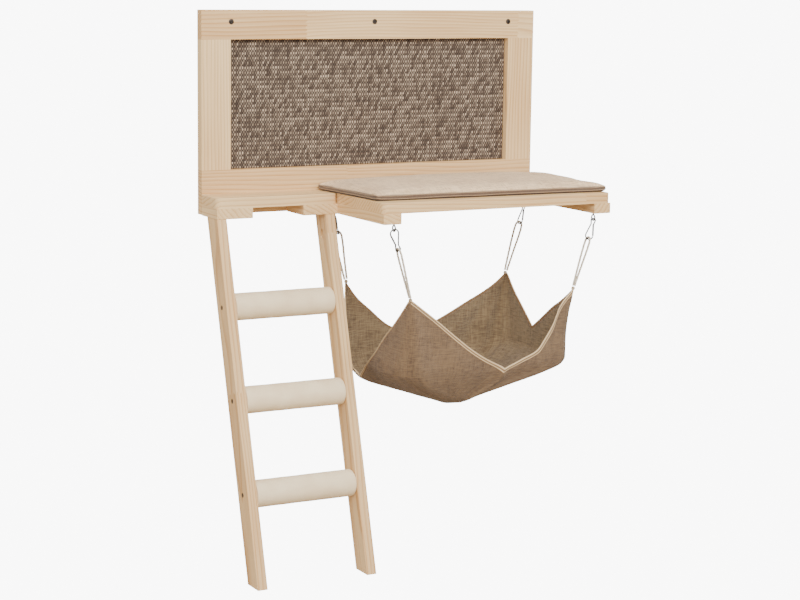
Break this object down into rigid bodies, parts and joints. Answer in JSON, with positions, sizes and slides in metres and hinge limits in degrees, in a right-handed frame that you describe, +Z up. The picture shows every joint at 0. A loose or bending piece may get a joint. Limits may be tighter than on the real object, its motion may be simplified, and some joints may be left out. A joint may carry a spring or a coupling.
{
  "type": "wall mounted cat tree",
  "caption": "Framed scratching panel for a wall, with a step, a cushioned seat platform, a leaning ladder with wound rungs and a cloth hammock hung on snap hooks below.",
  "frame": {"origin": "middle of the row of wall screw holes, on the back face of the top rail", "axes": "+Z up, +Y into the wall, +X to the viewer's right when facing the object"},
  "size_m": [0.68, 0.2545, 0.9494],
  "materials": {
    "pine": "sanded, clear",
    "dowel_beech": "raw",
    "backing_board": "raw hardboard",
    "sisal": "looped sisal weave, brown and cream",
    "rung_wood": "raw",
    "rung_rope": "finely wound, off-white",
    "zinc_steel": "zinc plated",
    "hook_steel": "dull zinc",
    "cord": "twisted cotton",
    "hammock_fabric": "plain weave, taupe",
    "hammock_tape": "folded cotton tape, cream",
    "cushion_fabric": "plain weave, beige"
  },
  "bodies": {
    "frame": {"top_rail": "pine", "bottom_rail": "pine", "left_stile": "pine", "right_stile": "pine", "frame_dowels": "dowel_beech", "mat_backing": "backing_board", "sisal_mat": "sisal", "step_board": "pine", "platform_board": "pine", "shelf_screws": "zinc_steel", "batten_screws": "zinc_steel", "rung_screws": "zinc_steel", "ladder_screws": "zinc_steel", "screw_eyes": "hook_steel", "step_batten_left": "pine", "step_batten_right": "pine", "platform_batten_left": "pine", "platform_batten_right": "pine", "ladder_rail_left": "pine", "ladder_rail_right": "pine", "rung_core_1": "rung_wood", "rung_wrap_1": "rung_rope", "rung_core_2": "rung_wood", "rung_wrap_2": "rung_rope", "rung_core_3": "rung_wood", "rung_wrap_3": "rung_rope"},
    "hammock": {"hammock_cloth": "hammock_fabric", "hammock_binding": "hammock_tape", "corner_knots": "cord"},
    "cushion": {"cushion": "cushion_fabric"},
    "hanger_front_left": {"snap_hook_front_left": "hook_steel", "gate_pin_front_left": "zinc_steel", "cord_loop_front_left": "cord"},
    "gate_front_left": {"hook_gate_front_left": "hook_steel"},
    "hanger_front_right": {"snap_hook_front_right": "hook_steel", "gate_pin_front_right": "zinc_steel", "cord_loop_front_right": "cord"},
    "gate_front_right": {"hook_gate_front_right": "hook_steel"},
    "hanger_back_left": {"snap_hook_back_left": "hook_steel", "gate_pin_back_left": "zinc_steel", "cord_loop_back_left": "cord"},
    "gate_back_left": {"hook_gate_back_left": "hook_steel"},
    "hanger_back_right": {"snap_hook_back_right": "hook_steel", "gate_pin_back_right": "zinc_steel", "cord_loop_back_right": "cord"},
    "gate_back_right": {"hook_gate_back_right": "hook_steel"}
  },
  "joints": [
    {"name": "swing_front_left", "type": "hinge", "parent": "frame", "child": "hanger_front_left", "pos_m": [-0.07708, -0.241, -0.33931], "axis": [-1, 0, 0], "range_deg": [-3, 25]},
    {"name": "swing_front_right", "type": "hinge", "parent": "frame", "child": "hanger_front_right", "pos_m": [0.32428, -0.241, -0.33931], "axis": [-1, 0, 0], "range_deg": [-3, 25]},
    {"name": "swing_back_left", "type": "hinge", "parent": "frame", "child": "hanger_back_left", "pos_m": [-0.07499, -0.011, -0.34092], "axis": [-1, 0, 0], "range_deg": [-3, 25]},
    {"name": "swing_back_right", "type": "hinge", "parent": "frame", "child": "hanger_back_right", "pos_m": [0.32219, -0.011, -0.34092], "axis": [-1, 0, 0], "range_deg": [-3, 25]},
    {"name": "hammock_level", "type": "hinge", "parent": "hanger_front_left", "child": "hammock", "pos_m": [-0.04258, -0.241, -0.46331], "axis": [-1, 0, 0], "range_deg": [-25, 3]},
    {"name": "gate_front_left_hinge", "type": "hinge", "parent": "hanger_front_left", "child": "gate_front_left", "pos_m": [-0.07282, -0.241, -0.36542], "axis": [0, 1, 0], "range_deg": [0, 12], "stiffness_Nm_per_rad": 0.05, "springref_deg": -8.59},
    {"name": "gate_front_right_hinge", "type": "hinge", "parent": "hanger_front_right", "child": "gate_front_right", "pos_m": [0.3241, -0.241, -0.35078], "axis": [0, 1, 0], "range_deg": [0, 12], "stiffness_Nm_per_rad": 0.05, "springref_deg": -8.59},
    {"name": "gate_back_left_hinge", "type": "hinge", "parent": "hanger_back_left", "child": "gate_back_left", "pos_m": [-0.06871, -0.0139, -0.36346], "axis": [-0.9634, 0, -0.268], "range_deg": [0, 12], "stiffness_Nm_per_rad": 0.05, "springref_deg": -8.59},
    {"name": "gate_back_right_hinge", "type": "hinge", "parent": "hanger_back_right", "child": "gate_back_right", "pos_m": [0.31999, -0.0139, -0.34882], "axis": [0.9634, 0, -0.268], "range_deg": [0, 12], "stiffness_Nm_per_rad": 0.05, "springref_deg": -8.59},
    {"name": "cushion_lift", "type": "slide", "parent": "frame", "child": "cushion", "axis": [0, 0, 1], "range_m": [0, 0.08]}
  ],
  "couplings": [
    {"joint": "swing_front_right", "follows": "swing_front_left", "ratio": 1},
    {"joint": "swing_back_left", "follows": "swing_front_left", "ratio": 1},
    {"joint": "swing_back_right", "follows": "swing_front_left", "ratio": 1},
    {"joint": "hammock_level", "follows": "swing_front_left", "ratio": -1}
  ]
}
